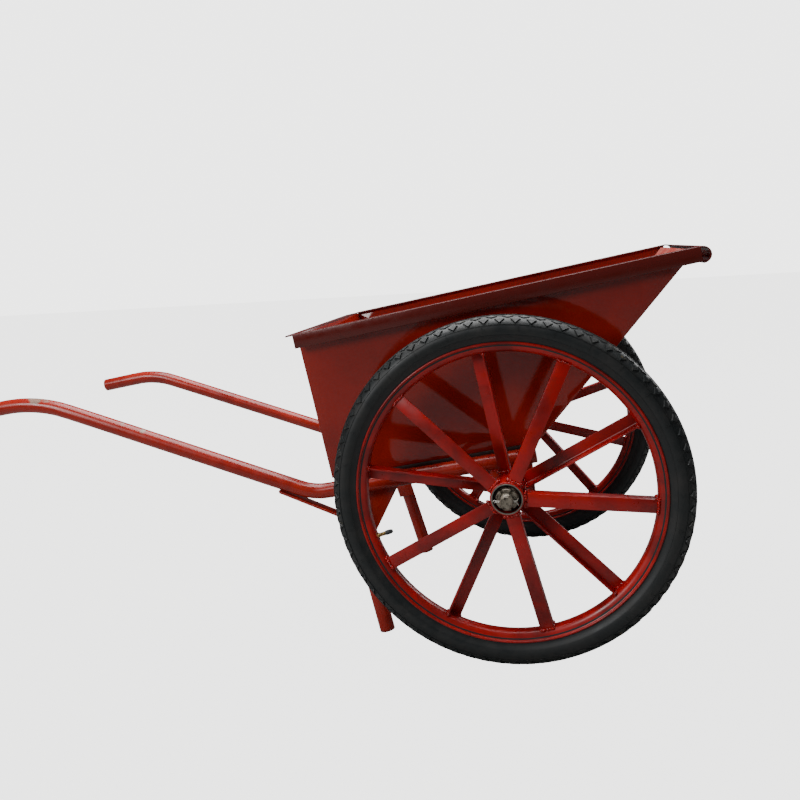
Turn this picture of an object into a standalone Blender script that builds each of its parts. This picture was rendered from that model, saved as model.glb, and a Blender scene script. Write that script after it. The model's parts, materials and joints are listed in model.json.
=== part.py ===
"""Two-wheeled builder's hand cart: welded sheet tray on a bent tube frame, with two spoked wheels.

+X is the front (the tipping end of the tray), +Y the left side, +Z up. The cart stands parked on
its two wheels and two legs, so its frame is pitched nose-up. The origin is on the ground, under
the middle of the whole cart. All lengths are in metres.
"""

import math

import bmesh
import bpy
from mathutils import Matrix, Vector

# --- Driving dimensions -------------------------------------------------------------------------
GAP = 0.0003                 # clearance between neighbouring pieces
PITCH = math.radians(9.2)    # nose-up angle of the parked cart
AXLE_X = 0.404               # axle, forward of the origin
AXLE_Z = 0.3335              # axle above the ground: the tyre's outer radius
TRACK = 0.7245               # between the two wheels' middle planes

SHEET = 0.002                # tray sheet thickness
TRAY_REAR_X = -0.358         # tray corners, in the cart's own level frame about the axle
FLOOR_REAR_X = -0.3675
FLOOR_FRONT_X = 0.0645
TRAY_FRONT_X = 0.4160
FLOOR_Z = 0.0575
TRAY_TOP_Z = 0.3655
FLOOR_HALF = 0.235
TOP_HALF = 0.275
RIM_ANGLE = 0.028            # rim angle iron: leg width and thickness
RIM_ANGLE_T = 0.003
RIM_OVERHANG = 0.016         # rim angle's outer edge beyond the tray sheet
RIM_REAR_OVER = 0.005        # rim angle's ends beyond the tray's rear and front edges
RIM_FRONT_OVER = 0.004
LIP_RADIUS = 0.0155          # rolled front lip
LIP_STANDOFF = 0.001
REAR_LEG_STANDOFF = 0.001    # rear rim angle's leg from the leaning rear sheet
LIP_START = math.radians(100)
LIP_END = math.radians(-95)
SLOPE_LOW_TRIM = 0.003       # front slope sheet, short of the floor and of the lip
SLOPE_HIGH_TRIM = 0.004

TUBE_RADIUS = 0.016          # frame tubes, handles and legs
TUBE_WALL = 0.0025
TUBE_Y = 0.243
TUBE_Z = 0.0352
TUBE_FRONT_X = 0.056
LOWER_BEND_X = -0.4100
HANDLE_END_RUN = 0.151       # level grip beyond the upper bend
UPPER_BENDS = {"right": (-0.9905, 0.3455), "left": (-0.948, 0.3220)}
LOWER_BEND_RADIUS = 0.130
UPPER_BEND_RADIUS = {"right": 0.330, "left": 0.220}
STRIP_Y = 0.2305             # flat strip between each rail and the tray floor
STRIP_WIDTH = 0.016
STRIP_INSET = 0.006

LEG_Y = 0.238
LEG_FOOT_X = {"right": -0.2745, "left": -0.2610}     # on the ground, behind the axle
LEG_LEAN = {"right": math.radians(11.4), "left": math.radians(15.0)}
GUSSET_T = 0.004             # gusset plate between each leg and its rail
GUSSET_FRONT_X = -0.2335
GUSSET_LOW_Z = -0.124
GUSSET_KNEE_Z = -0.080       # where the plate's front edge turns steep
GUSSET_TOP_REACH = 0.024     # plate's edges from the leg's middle line
GUSSET_KNEE_REACH = 0.022
GUSSET_LOW_REACH = 0.019
STRUT_TOP_X = -0.482         # flat strut from each handle down to its leg
STRUT_LOW_Z = -0.026
STRUT_WIDTH = 0.025
STRUT_T = 0.005

BRACKET_T = 0.008            # plate under each rail that carries the axle
BRACKET_SHOULDER_Z = -0.010
BRACKET_LOW_Z = -0.036
AXLE_RADIUS = 0.0125
AXLE_MIDDLE_RADIUS = 0.016
AXLE_END = 0.066             # threaded end, from the wheel's middle plane
CHAMFER = 0.0015
HUB_RADIUS = 0.0315
HUB_HALF = 0.040
HUB_SHOULDER_RADIUS = 0.0235
BEARING_RADIUS = 0.026
BEARING_WIDTH = 0.015
BEARING_OUTSIDE = 0.027      # outer face of each bearing, from the wheel's middle plane
SLEEVE_RADIUS = 0.0165
NUT_ACROSS_FLATS = 0.036
NUT_HEIGHT = 0.017
NUT_SLOT = 0.0056
NUT_SLOT_DEPTH = 0.007
PIN_RADIUS = 0.0022          # split pin
PIN_REACH = 0.0208
PIN_STANDOFF = 0.010         # beyond the nut's outer face
PIN_BENT_OUT = 0.001
PIN_BENT_UP = 0.0045
RIM_FLANGE_RADIUS = 0.2855
RIM_HALF_WIDTH = 0.021
SPOKE_INNER = HUB_RADIUS + GAP
SPOKE_OUTER = 0.2650
SPOKE_WIDTH = 0.025
SPOKE_T = 0.003
SPOKE_HUB_OFFSET = 0.0350    # flat leg's outer face from the wheel's middle plane, at the hub
SPOKE_RIM_OFFSET = 0.0125
SPOKE_ANGLES = {             # degrees: each spoke was set by eye before it was welded
    "right": (-5.0, 30.0, 65.4, 99.6, 136.6, 171.0, 210.2, 244.6, 283.4, 317.0),
    "left": (49.5, 87.0, 123.0, 159.0, 195.0, 231.0, 267.0, 303.0, 340.0, 375.5)}
VALVE_ANGLE = math.radians(198.0)
VALVE_FOOT_RADIUS = 0.2640

WHEEL_STEPS = 48
AXLE_STEPS = 20
SIDES = {"right": -1, "left": 1}

# --- Scene and materials ------------------------------------------------------------------------
for old in list(bpy.data.objects):
    bpy.data.objects.remove(old, do_unlink=True)

parts = bpy.data.collections.new("hand_cart")
cutters = bpy.data.collections.new("cutters")
bpy.context.scene.collection.children.link(parts)
bpy.context.scene.collection.children.link(cutters)


def material(name, colour, roughness, metallic):
    """A plain Principled material."""
    made = bpy.data.materials.new(name)
    made.use_nodes = True
    shader = made.node_tree.nodes["Principled BSDF"]
    shader.inputs["Base Color"].default_value = (*colour, 1.0)
    shader.inputs["Roughness"].default_value = roughness
    shader.inputs["Metallic"].default_value = metallic
    return made


RED_TRAY = material("red_enamel_tray", (0.17, 0.012, 0.010), 0.25, 0.0)
RED_FRAME = material("red_enamel_frame", (0.26, 0.022, 0.018), 0.35, 0.0)
RED_WHEEL = material("red_enamel_wheel", (0.33, 0.020, 0.018), 0.3, 0.0)
TYRE_RUBBER = material("tyre_rubber", (0.012, 0.014, 0.014), 0.75, 0.0)
BARE_STEEL = material("greasy_steel", (0.24, 0.22, 0.19), 0.45, 1.0)
BRASS = material("valve_brass", (0.55, 0.40, 0.16), 0.35, 1.0)


# --- Making pieces ------------------------------------------------------------------------------
def empty(name, parent, location=(0.0, 0.0, 0.0), rotation=(0.0, 0.0, 0.0)):
    """A reference frame that pieces are parented to."""
    made = bpy.data.objects.new(name, None)
    cutters.objects.link(made)
    made.parent = parent
    made.location = location
    made.rotation_euler = rotation
    return made


def place(made, parent, finish, matrix=None):
    """Link a piece, give it its finish, and put it in its parent's frame."""
    parts.objects.link(made)
    made.data.materials.clear()
    made.data.materials.append(finish)
    made.parent = parent
    if matrix is not None:
        location, rotation, _ = matrix.decompose()
        made.rotation_mode = "QUATERNION"
        made.location = location
        made.rotation_quaternion = rotation
    return made


def mesh_of(curve):
    """The mesh of a curve, with its loose caps welded."""
    source = bpy.data.objects.new("source", curve)
    cutters.objects.link(source)
    bpy.context.view_layer.update()
    evaluated = source.evaluated_get(bpy.context.evaluated_depsgraph_get())
    mesh = bpy.data.meshes.new_from_object(evaluated)
    bpy.data.objects.remove(source)
    bm = bmesh.new()
    bm.from_mesh(mesh)
    bmesh.ops.remove_doubles(bm, verts=bm.verts, dist=0.00005)
    if not any(edge.is_boundary for edge in bm.edges):
        bmesh.ops.recalc_face_normals(bm, faces=bm.faces)
    bm.to_mesh(mesh)
    bm.free()
    return mesh


def extruded(name, outlines, thickness, parent, finish, matrix):
    """A flat outline (further outlines are holes) extruded to a thickness along local Z."""
    curve = bpy.data.curves.new(name, "CURVE")
    curve.dimensions = "2D"
    curve.fill_mode = "BOTH"
    curve.extrude = thickness / 2
    for outline in outlines:
        spline = curve.splines.new("POLY")
        spline.points.add(len(outline) - 1)
        for point, (x, y) in zip(spline.points, outline):
            point.co = (x, y, 0.0, 1.0)
        spline.use_cyclic_u = True
    made = bpy.data.objects.new(name, mesh_of(curve))
    return place(made, parent, finish, matrix)


def tube(name, path, radius, wall, parent, finish, sides=16):
    """A round tube along a path. Its ends are open where it has a wall, and capped where not."""
    curve = bpy.data.curves.new(name, "CURVE")
    curve.dimensions = "3D"
    curve.bevel_depth = radius
    curve.bevel_resolution = sides // 2 - 2
    curve.use_fill_caps = wall == 0.0
    spline = curve.splines.new("POLY")
    spline.points.add(len(path) - 1)
    for point, co in zip(spline.points, path):
        point.co = (*co, 1.0)
    made = bpy.data.objects.new(name, mesh_of(curve))
    made.data.shade_smooth()
    made.data.set_sharp_from_angle(angle=math.radians(40))
    place(made, parent, finish)
    if wall > 0.0:
        shell = made.modifiers.new("wall", "SOLIDIFY")
        shell.thickness = wall
        shell.offset = -1.0
    return made


def turned(name, profile, steps, parent, finish, matrix=None):
    """A closed profile of (radius, height) points turned about local Z.

    The points run down the outer side, then up the inner side.
    """
    mesh = bpy.data.meshes.new(name)
    bm = bmesh.new()
    ring = [bm.verts.new((radius, 0.0, height)) for radius, height in profile]
    for first, second in zip(ring, ring[1:] + ring[:1]):
        bm.edges.new((first, second))
    bm.to_mesh(mesh)
    bm.free()
    made = bpy.data.objects.new(name, mesh)
    place(made, parent, finish, matrix)
    screw = made.modifiers.new("turn", "SCREW")
    screw.axis = "Z"
    screw.steps = steps
    screw.render_steps = steps
    screw.use_merge_vertices = True
    screw.merge_threshold = 0.00001
    screw.use_smooth_shade = False
    return made


def axes(origin, x_axis, y_axis):
    """A matrix with the given local X and Y directions; Z follows from them."""
    x_axis = Vector(x_axis).normalized()
    z_axis = x_axis.cross(Vector(y_axis)).normalized()
    y_axis = z_axis.cross(x_axis)
    rotation = Matrix((x_axis, y_axis, z_axis)).transposed().to_4x4()
    return Matrix.Translation(Vector(origin)) @ rotation


def l_section(width, depth, thickness):
    """The outline of an angle iron: one leg along X, the other hanging down from X = width."""
    return [(0.0, 0.0), (0.0, -thickness), (width - thickness, -thickness),
            (width - thickness, -depth), (width, -depth), (width, 0.0)]


def rounded_path(corners, radii, step_angle=math.radians(5)):
    """A path in the X-Z plane through the corners, each inner corner replaced by an arc."""
    points = [Vector(corners[0])]
    for index in range(1, len(corners) - 1):
        here = Vector(corners[index])
        back = (Vector(corners[index - 1]) - here).normalized()
        ahead = (Vector(corners[index + 1]) - here).normalized()
        turn = math.pi - back.angle(ahead)
        radius = radii[index - 1]
        reach = radius * math.tan(turn / 2)
        centre = here + (back + ahead).normalized() * radius / math.cos(turn / 2)
        start = here + back * reach - centre
        end = here + ahead * reach - centre
        axis = start.cross(end).normalized()
        steps = max(2, round(turn / step_angle))
        for step in range(steps + 1):
            points.append(centre + Matrix.Rotation(turn * step / steps, 3, axis) @ start)
    points.append(Vector(corners[-1]))
    return points


# --- Reference frames ---------------------------------------------------------------------------
ground = empty("axle_on_ground", None, (AXLE_X, 0.0, 0.0))
cart = empty("cart_frame", ground, (0.0, 0.0, AXLE_Z), (0.0, -PITCH, 0.0))


def in_cart(x, z):
    """A point beside the axle on the ground, given in the pitched cart frame as (x, z)."""
    rise = z - AXLE_Z
    return (x * math.cos(PITCH) + rise * math.sin(PITCH),
            rise * math.cos(PITCH) - x * math.sin(PITCH))


# --- Tray ---------------------------------------------------------------------------------------
WALL_LEAN = math.atan2(TOP_HALF - FLOOR_HALF, TRAY_TOP_Z - FLOOR_Z)
SLOPE_RUN = TRAY_FRONT_X - FLOOR_FRONT_X
SLOPE_RISE = TRAY_TOP_Z - FLOOR_Z
INNER_GAP = SHEET / math.cos(WALL_LEAN) + GAP       # side sheet's thickness plus clearance


def wall_half(z):
    """Half the tray's outer width at a height."""
    return FLOOR_HALF + (z - FLOOR_Z) * math.tan(WALL_LEAN)


def make_tray():
    """Floor, two leaning sides, upright rear wall and sloping front, from flat sheet."""
    floor_half = FLOOR_HALF - INNER_GAP
    floor_rear = FLOOR_REAR_X + SHEET + 2 * GAP
    floor = [(floor_rear, -floor_half), (FLOOR_FRONT_X, -floor_half),
             (FLOOR_FRONT_X, floor_half), (floor_rear, floor_half)]
    extruded("tray_floor", [floor], SHEET, cart, RED_TRAY,
             Matrix.Translation((0.0, 0.0, FLOOR_Z + SHEET / 2)))

    wall_height = (TRAY_TOP_Z - FLOOR_Z) / math.cos(WALL_LEAN)
    side_outline = [(FLOOR_REAR_X, 0.0), (FLOOR_FRONT_X, 0.0),
                    (TRAY_FRONT_X, wall_height), (TRAY_REAR_X, wall_height)]
    for side, sign in SIDES.items():
        up = Vector((0.0, sign * math.sin(WALL_LEAN), math.cos(WALL_LEAN)))
        frame = axes((0.0, sign * FLOOR_HALF, FLOOR_Z), (1.0, 0.0, 0.0), up)
        outward = -sign * (frame.to_3x3() @ Vector((0.0, 0.0, 1.0))).y
        frame = frame @ Matrix.Translation((0.0, 0.0, math.copysign(SHEET / 2, outward)))
        extruded(f"tray_side_{side}", [side_outline], SHEET, cart, RED_TRAY, frame)

    rear_up = Vector((TRAY_REAR_X - FLOOR_REAR_X, 0.0, TRAY_TOP_Z - FLOOR_Z))
    rear_top_half = wall_half(TRAY_TOP_Z) - INNER_GAP
    rear = [(-floor_half, 0.0), (floor_half, 0.0), (rear_top_half, rear_up.length),
            (-rear_top_half, rear_up.length)]
    frame = axes((FLOOR_REAR_X, 0.0, FLOOR_Z), (0.0, 1.0, 0.0), rear_up)
    extruded("tray_rear_wall", [rear], SHEET, cart, RED_TRAY,
             frame @ Matrix.Translation((0.0, 0.0, SHEET / 2)))

    slope_length = math.hypot(SLOPE_RUN, SLOPE_RISE)
    lowest = SLOPE_LOW_TRIM
    highest = slope_length - SLOPE_HIGH_TRIM

    def slope_half(along):
        return wall_half(FLOOR_Z + along * SLOPE_RISE / slope_length) - INNER_GAP - GAP

    front = [(-slope_half(lowest), lowest), (slope_half(lowest), lowest),
             (slope_half(highest), highest), (-slope_half(highest), highest)]
    along = Vector((SLOPE_RUN, 0.0, SLOPE_RISE)).normalized()
    frame = axes((FLOOR_FRONT_X, 0.0, FLOOR_Z), (0.0, 1.0, 0.0), along)
    inward = (frame.to_3x3() @ Vector((0.0, 0.0, 1.0))).z
    frame = frame @ Matrix.Translation((0.0, 0.0, math.copysign(SHEET / 2, inward)))
    extruded("tray_front_slope", [front], SHEET, cart, RED_TRAY, frame)


def make_rim():
    """Angle iron along both sides and the rear of the mouth, and the rolled lip at its front."""
    flange_z = TRAY_TOP_Z + GAP + RIM_ANGLE_T
    side_outer = TOP_HALF + RIM_OVERHANG
    side_rear = TRAY_REAR_X - RIM_REAR_OVER
    side_front = TRAY_FRONT_X + RIM_FRONT_OVER
    section = l_section(RIM_ANGLE, RIM_ANGLE, RIM_ANGLE_T)
    for side, sign in SIDES.items():
        middle = (side_front + side_rear) / 2
        frame = axes((middle, sign * (side_outer - RIM_ANGLE), flange_z),
                     (0.0, sign, 0.0), (0.0, 0.0, 1.0))
        extruded(f"rim_angle_{side}", [section], side_front - side_rear, cart, RED_TRAY, frame)

    rear_half = side_outer - RIM_ANGLE - GAP
    leg_x = TRAY_REAR_X - REAR_LEG_STANDOFF - GAP
    leg_down = [(0.0, 0.0), (0.0, -RIM_ANGLE), (-RIM_ANGLE_T, -RIM_ANGLE),
                (-RIM_ANGLE_T, -RIM_ANGLE_T), (-RIM_ANGLE, -RIM_ANGLE_T), (-RIM_ANGLE, 0.0)]
    extruded("rim_angle_rear", [leg_down], 2 * rear_half, cart, RED_TRAY,
             axes((leg_x, 0.0, flange_z), (1.0, 0.0, 0.0), (0.0, 0.0, 1.0)))

    centre = Vector((side_front + GAP + LIP_STANDOFF, flange_z - LIP_RADIUS))
    steps = 14
    outer = []
    inner = []
    for step in range(steps + 1):
        angle = LIP_START + (LIP_END - LIP_START) * step / steps
        direction = Vector((math.cos(angle), math.sin(angle)))
        outer.append(tuple(centre + direction * LIP_RADIUS))
        inner.append(tuple(centre + direction * (LIP_RADIUS - SHEET)))
    floor_of_lip = side_front + GAP
    section = [(max(x, floor_of_lip), z) for x, z in outer + inner[::-1]]
    extruded("front_lip", [section], 2 * side_outer, cart, RED_TRAY,
             axes((0.0, 0.0, 0.0), (1.0, 0.0, 0.0), (0.0, 0.0, 1.0)))


# --- Frame --------------------------------------------------------------------------------------
def make_frame():
    """Two bent tubes that are both frame rail and handle, and the flat strips on top of them."""
    for side, sign in SIDES.items():
        bend_x, bend_z = UPPER_BENDS[side]
        corners = [(TUBE_FRONT_X, 0.0, TUBE_Z), (LOWER_BEND_X, 0.0, TUBE_Z),
                   (bend_x, 0.0, bend_z), (bend_x - HANDLE_END_RUN, 0.0, bend_z)]
        path = rounded_path(corners, (LOWER_BEND_RADIUS, UPPER_BEND_RADIUS[side]))
        path = [Vector((point.x, sign * TUBE_Y, point.z)) for point in path]
        tube(f"handle_tube_{side}", path, TUBE_RADIUS, TUBE_WALL, cart, RED_FRAME)

        strip_bottom = TUBE_Z + TUBE_RADIUS + GAP
        strip_top = FLOOR_Z - GAP
        strip_rear = FLOOR_REAR_X + STRIP_INSET
        strip_front = TUBE_FRONT_X - STRIP_INSET
        inner = sign * (STRIP_Y - STRIP_WIDTH / 2)
        outer = sign * (STRIP_Y + STRIP_WIDTH / 2)
        strip = [(strip_rear, inner), (strip_front, inner), (strip_front, outer),
                 (strip_rear, outer)]
        extruded(f"bed_strip_{side}", [strip], strip_top - strip_bottom, cart, RED_FRAME,
                 Matrix.Translation((0.0, 0.0, (strip_top + strip_bottom) / 2)))


def make_legs():
    """A leg tube under each rail, with its gusset plate and the flat strut to the handle."""
    under_rail = TUBE_Z - TUBE_RADIUS - GAP
    for side, sign in SIDES.items():
        lean = LEG_LEAN[side]
        own_lean = lean - PITCH
        foot_x, foot_z = in_cart(LEG_FOOT_X[side], TUBE_RADIUS * math.sin(lean))
        length = (under_rail - TUBE_RADIUS * math.sin(own_lean) - foot_z) / math.cos(own_lean)
        top = (foot_x - length * math.sin(own_lean), foot_z + length * math.cos(own_lean))
        path = [Vector((foot_x, sign * LEG_Y, foot_z)), Vector((top[0], sign * LEG_Y, top[1]))]
        tube(f"leg_{side}", path, TUBE_RADIUS, TUBE_WALL, cart, RED_FRAME)

        def leg_x(z):
            return foot_x - (z - foot_z) * math.tan(own_lean)

        gusset = [(GUSSET_FRONT_X, under_rail),
                  (leg_x(GUSSET_KNEE_Z) + GUSSET_KNEE_REACH, GUSSET_KNEE_Z),
                  (leg_x(GUSSET_LOW_Z) + GUSSET_LOW_REACH, GUSSET_LOW_Z),
                  (leg_x(GUSSET_LOW_Z) - GUSSET_LOW_REACH, GUSSET_LOW_Z),
                  (leg_x(under_rail) - GUSSET_TOP_REACH, under_rail)]
        plate_y = sign * (LEG_Y - TUBE_RADIUS - GAP - GUSSET_T / 2)
        extruded(f"leg_gusset_{side}", [gusset], GUSSET_T, cart, RED_FRAME,
                 axes((0.0, plate_y, 0.0), (1.0, 0.0, 0.0), (0.0, 0.0, 1.0)))

        bend_x, bend_z = UPPER_BENDS[side]
        climb = math.atan2(bend_z - TUBE_Z, LOWER_BEND_X - bend_x)
        high_z = TUBE_Z + (LOWER_BEND_X - STRUT_TOP_X) * math.tan(climb)
        high_z -= (TUBE_RADIUS + GAP) / math.cos(climb)
        low_x = leg_x(STRUT_LOW_Z) - (TUBE_RADIUS + GAP) / math.cos(own_lean)
        fall = math.atan2(high_z - STRUT_LOW_Z, low_x - STRUT_TOP_X)
        depth = STRUT_T / math.cos(fall)
        strut = [(STRUT_TOP_X, high_z), (low_x, STRUT_LOW_Z), (low_x, STRUT_LOW_Z - depth),
                 (STRUT_TOP_X, high_z - depth)]
        extruded(f"leg_strut_{side}", [strut], STRUT_WIDTH, cart, RED_FRAME,
                 axes((0.0, sign * TUBE_Y, 0.0), (1.0, 0.0, 0.0), (0.0, 0.0, 1.0)))


def circle(radius, steps):
    """Points round a circle."""
    turn = 2 * math.pi / steps
    return [(radius * math.cos(turn * step), radius * math.sin(turn * step))
            for step in range(steps)]


def make_axle():
    """Plates hanging from the rails, and the through axle with its nuts and split pins."""
    plate_top = TUBE_Z - TUBE_RADIUS - GAP
    outline = [(-0.038, plate_top), (-0.050, BRACKET_SHOULDER_Z), (-0.030, BRACKET_LOW_Z),
               (0.034, BRACKET_LOW_Z), (0.042, BRACKET_SHOULDER_Z), (0.046, plate_top)]
    for side, sign in SIDES.items():
        hole = circle(AXLE_MIDDLE_RADIUS + GAP, 24)
        extruded(f"axle_bracket_{side}", [outline, hole], BRACKET_T, cart, RED_FRAME,
                 axes((0.0, sign * TUBE_Y, 0.0), (1.0, 0.0, 0.0), (0.0, 0.0, 1.0)))

    half_track = TRACK / 2
    shoulder = half_track - BEARING_OUTSIDE - GAP
    end = half_track + AXLE_END
    half = [(AXLE_RADIUS - CHAMFER, end), (AXLE_RADIUS, end - CHAMFER), (AXLE_RADIUS, shoulder),
            (AXLE_MIDDLE_RADIUS, shoulder)]
    mirrored = [(radius, -height) for radius, height in reversed(half)]
    profile = [(0.0, end)] + half + mirrored + [(0.0, -end)]
    half_step = math.pi / AXLE_STEPS          # so that the pin holes leave through flat facets
    axle = turned("axle", profile, AXLE_STEPS, ground, BARE_STEEL,
                  axes((0.0, 0.0, AXLE_Z), (math.cos(half_step), 0.0, math.sin(half_step)),
                       (-math.sin(half_step), 0.0, math.cos(half_step))))
    axle.modifiers["turn"].merge_threshold = 0.00005

    for side, sign in SIDES.items():
        wheel = wheel_frames[side]
        nut_low = BEARING_OUTSIDE + GAP
        corner = NUT_ACROSS_FLATS / math.sqrt(3)
        nut = [(corner * math.cos(math.radians(30 + 60 * k)),
                corner * math.sin(math.radians(30 + 60 * k))) for k in range(6)]
        hole = circle(AXLE_RADIUS + GAP, 24)
        body = extruded(f"castle_nut_{side}", [nut, hole], NUT_HEIGHT, ground, BARE_STEEL,
                        wheel_matrix(sign) @ Matrix.Translation((0, 0, nut_low + NUT_HEIGHT / 2)))
        slot_cutter(body, side, sign, nut_low + NUT_HEIGHT)

        pin_z = nut_low + NUT_HEIGHT + PIN_STANDOFF
        bent = PIN_REACH + PIN_BENT_OUT
        pin_path = [(-bent, PIN_BENT_UP, pin_z), (-PIN_REACH, 0.0, pin_z),
                    (PIN_REACH, 0.0, pin_z), (bent, PIN_BENT_UP, pin_z)]
        points = [wheel_matrix(sign) @ Vector(point) for point in pin_path]
        tube(f"split_pin_{side}", points, PIN_RADIUS, 0.0, ground, BARE_STEEL, sides=8)
        drill_axle(axle, points)

        sleeve = [(SLEEVE_RADIUS, BEARING_OUTSIDE - GAP), (SLEEVE_RADIUS, -BEARING_OUTSIDE),
                  (AXLE_RADIUS + GAP, -BEARING_OUTSIDE), (AXLE_RADIUS + GAP, BEARING_OUTSIDE - GAP)]
        turned(f"bearing_sleeve_{side}", sleeve, 24, wheel, BARE_STEEL)


def slot_cutter(nut, side, sign, top):
    """Cut the castle nut's slot across its outer end."""
    bpy.ops.mesh.primitive_cube_add(size=1.0)
    cutter = bpy.context.object
    cutter.name = f"nut_slot_{side}"
    cutter.dimensions = (2 * NUT_ACROSS_FLATS, NUT_SLOT, 2 * NUT_SLOT_DEPTH)
    bpy.context.view_layer.update()
    cutter.data.transform(Matrix.Diagonal((*cutter.scale, 1.0)))
    cutter.scale = (1.0, 1.0, 1.0)
    for collection in list(cutter.users_collection):
        collection.objects.unlink(cutter)
    cutters.objects.link(cutter)
    cutter.parent = ground
    location, rotation, _ = (wheel_matrix(sign) @ Matrix.Translation((0, 0, top))).decompose()
    cutter.rotation_mode = "QUATERNION"
    cutter.location = location
    cutter.rotation_quaternion = rotation
    cutter.hide_render = True
    cutter.display_type = "WIRE"
    cut = nut.modifiers.new("slot", "BOOLEAN")
    cut.operation = "DIFFERENCE"
    cut.object = cutter


def drill_axle(axle, points):
    """Drill the axle end for its split pin."""
    cutter = tube(f"pin_drill_{len(axle.modifiers)}", [points[1], points[2]], PIN_RADIUS + GAP,
                  0.0, ground, BARE_STEEL, sides=8)
    parts.objects.unlink(cutter)
    cutters.objects.link(cutter)
    cutter.hide_render = True
    cutter.display_type = "WIRE"
    cut = axle.modifiers.new("pin_hole", "BOOLEAN")
    cut.operation = "DIFFERENCE"
    cut.object = cutter


# --- Wheels -------------------------------------------------------------------------------------
def wheel_matrix(sign):
    """From a wheel's own frame, +Z outward, to the axle's ground frame."""
    turn = Matrix.Rotation(math.radians(-90 * sign), 4, "X")
    return Matrix.Translation((0.0, sign * TRACK / 2, AXLE_Z)) @ turn


def make_wheel(side, frame):
    """Tyre, rolled rim, hub with two bearings, angle-iron spokes and valve."""
    tyre_outer = [(0.3335, 0.0), (0.3305, -0.0165), (0.3185, -0.0262), (0.3060, -0.0275),
                  (0.2900, -0.0225), (0.2860, -0.0172), (0.2745, -0.0172)]
    tyre_inner = [(0.2745, -0.0135), (0.2860, -0.0150), (0.3060, -0.0240), (0.3180, -0.0215),
                  (0.3290, 0.0)]
    profile = [(r, -z) for r, z in reversed(tyre_outer[1:])] + tyre_outer + tyre_inner
    profile += [(r, -z) for r, z in reversed(tyre_inner[:-1])]
    turned(f"tyre_{side}", profile, WHEEL_STEPS, frame, TYRE_RUBBER)

    flange = RIM_FLANGE_RADIUS
    rim_outside = [(flange, -0.0176), (flange, -RIM_HALF_WIDTH), (0.2825, -RIM_HALF_WIDTH),
                   (0.2690, -0.0150), (0.2655, -0.0100)]
    rim_inside = [(0.2745, -0.0176), (0.2715, -0.0145), (0.2680, -0.0100)]
    turned(f"rim_{side}", rim_loop(rim_outside, rim_inside), WHEEL_STEPS, frame, RED_WHEEL)

    shoulder = BEARING_OUTSIDE - BEARING_WIDTH - GAP
    bore = BEARING_RADIUS + GAP
    hub = [(HUB_RADIUS - CHAMFER, HUB_HALF), (HUB_RADIUS, HUB_HALF - CHAMFER),
           (HUB_RADIUS, -HUB_HALF + CHAMFER), (HUB_RADIUS - CHAMFER, -HUB_HALF),
           (bore, -HUB_HALF), (bore, -shoulder), (HUB_SHOULDER_RADIUS, -shoulder),
           (HUB_SHOULDER_RADIUS, shoulder), (bore, shoulder), (bore, HUB_HALF)]
    turned(f"hub_{side}", hub, 32, frame, RED_WHEEL)

    for place_name, low in (("outer", BEARING_OUTSIDE - BEARING_WIDTH), ("inner", -BEARING_OUTSIDE)):
        race_bore = SLEEVE_RADIUS + GAP
        race = [(BEARING_RADIUS, low + BEARING_WIDTH), (BEARING_RADIUS, low),
                (race_bore, low), (race_bore, low + BEARING_WIDTH)]
        turned(f"bearing_{place_name}_{side}", race, 24, frame, BARE_STEEL)

    tilt = math.atan2(SPOKE_HUB_OFFSET - SPOKE_RIM_OFFSET, SPOKE_OUTER - SPOKE_INNER)
    length = (SPOKE_OUTER - SPOKE_INNER) / math.cos(tilt)
    inset = 0.5 * SPOKE_WIDTH * math.tan(tilt)
    for index, degrees in enumerate(SPOKE_ANGLES[side]):
        face = 1 if index % 2 == 0 else -1
        angle = math.radians(degrees)
        radial = Vector((math.cos(angle), math.sin(angle), 0.0))
        across = Vector((-math.sin(angle), math.cos(angle), 0.0)) * face * -SIDES[side]
        outward = Vector((0.0, 0.0, 1.0)) * face
        middle_r = (SPOKE_INNER + SPOKE_OUTER) / 2
        middle_z = (SPOKE_HUB_OFFSET + SPOKE_RIM_OFFSET) / 2
        lean = -math.sin(tilt)
        along = radial * math.cos(tilt) + outward * lean
        normal = outward * math.cos(tilt) + radial * math.sin(tilt)
        origin = radial * middle_r + outward * middle_z - across * SPOKE_WIDTH / 2
        section = l_section(SPOKE_WIDTH, SPOKE_WIDTH, SPOKE_T)
        extruded(f"spoke_{index + 1:02d}_{side}", [section], length - 2 * inset, frame, RED_WHEEL,
                 axes(origin, across, normal))

    valve_dir = Vector((math.cos(VALVE_ANGLE), math.sin(VALVE_ANGLE), 0.0))
    valve = [(0.0, 0.0305), (0.0036, 0.0305), (0.0038, 0.0140), (0.0042, 0.0135), (0.0042, 0.0),
             (0.0, 0.0)]
    turned(f"valve_{side}", valve, 12, frame, BRASS,
           axes(valve_dir * VALVE_FOOT_RADIUS, (-valve_dir.y, valve_dir.x, 0.0),
                (0.0, 0.0, -1.0)))


def rim_loop(outside, inside):
    """The rim's closed section: in over the bowl on the hub side, back over the tyre side."""
    hub_side = [(r, z) for r, z in outside] + [(r, -z) for r, z in reversed(outside)]
    tyre_side = [(r, -z) for r, z in inside] + [(r, z) for r, z in reversed(inside)]
    return hub_side + tyre_side


wheel_frames = {}
for side_name, side_sign in SIDES.items():
    matrix = wheel_matrix(side_sign)
    wheel_frames[side_name] = empty(f"wheel_frame_{side_name}", ground, matrix.to_translation(),
                                    matrix.to_euler())

make_tray()
make_rim()
make_frame()
make_legs()
make_axle()
for side_name, wheel_frame in wheel_frames.items():
    make_wheel(side_name, wheel_frame)
bpy.context.view_layer.update()
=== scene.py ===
"""Looks of a two-wheeled builder's hand cart: enamelled steel, treaded tyres, greasy hubs and welds.

Everything is in metres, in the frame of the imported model: +X is the tipping end, +Y the left side
and +Z up. Each wheel also has its own frame, whose +Z points outwards along the axle.
"""

import json
import math
import random

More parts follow.
